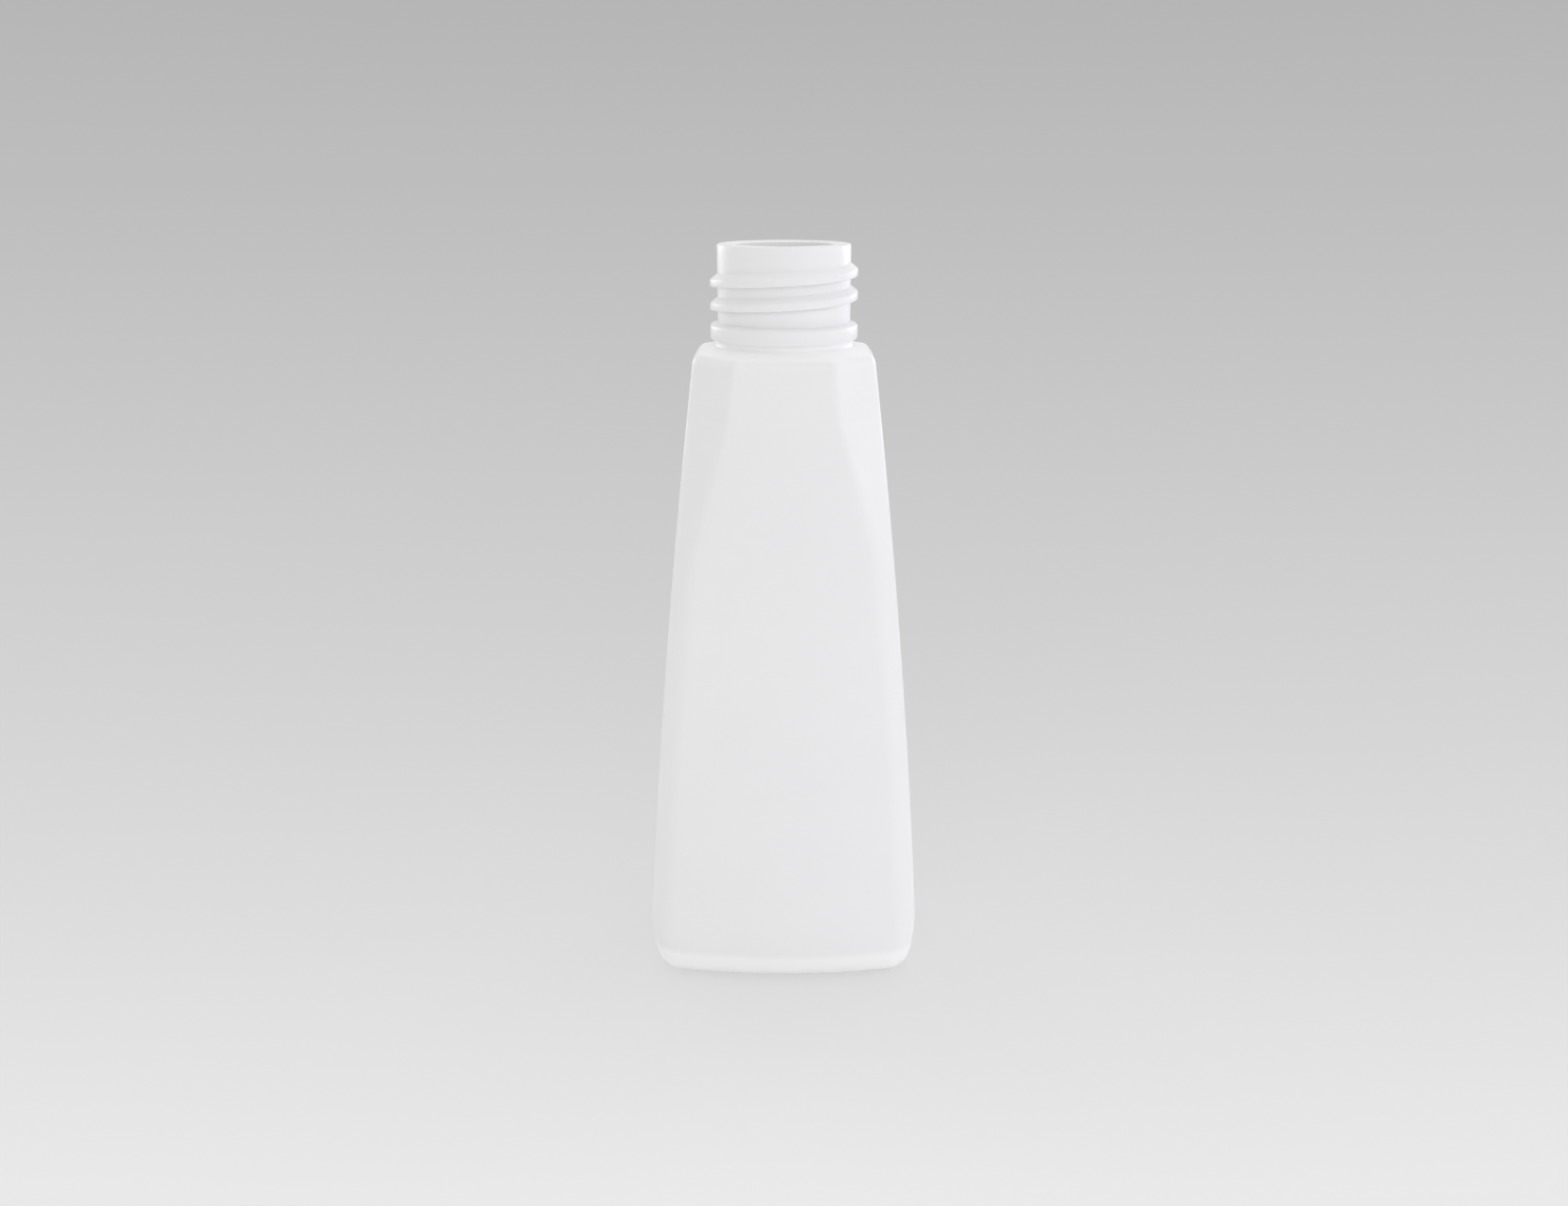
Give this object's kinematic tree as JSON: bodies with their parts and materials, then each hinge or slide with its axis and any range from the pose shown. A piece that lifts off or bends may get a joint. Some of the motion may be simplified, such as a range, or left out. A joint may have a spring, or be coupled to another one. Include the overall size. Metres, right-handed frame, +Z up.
{
  "type": "bottle",
  "caption": "White blow-moulded cosmetic bottle with an open screw neck, a small eight-sided shoulder and a flared body.",
  "frame": {"origin": "centre of the standing face, under the middle of the neck", "axes": "+Z up through the neck, -Y out of the wide front face, +X to the right seen from the front"},
  "size_m": [0.0556, 0.04, 0.1468],
  "materials": {
    "white_plastic": "smooth satin, opaque white"
  },
  "bodies": {
    "root": {"bottle": "white_plastic"}
  },
  "joints": []
}
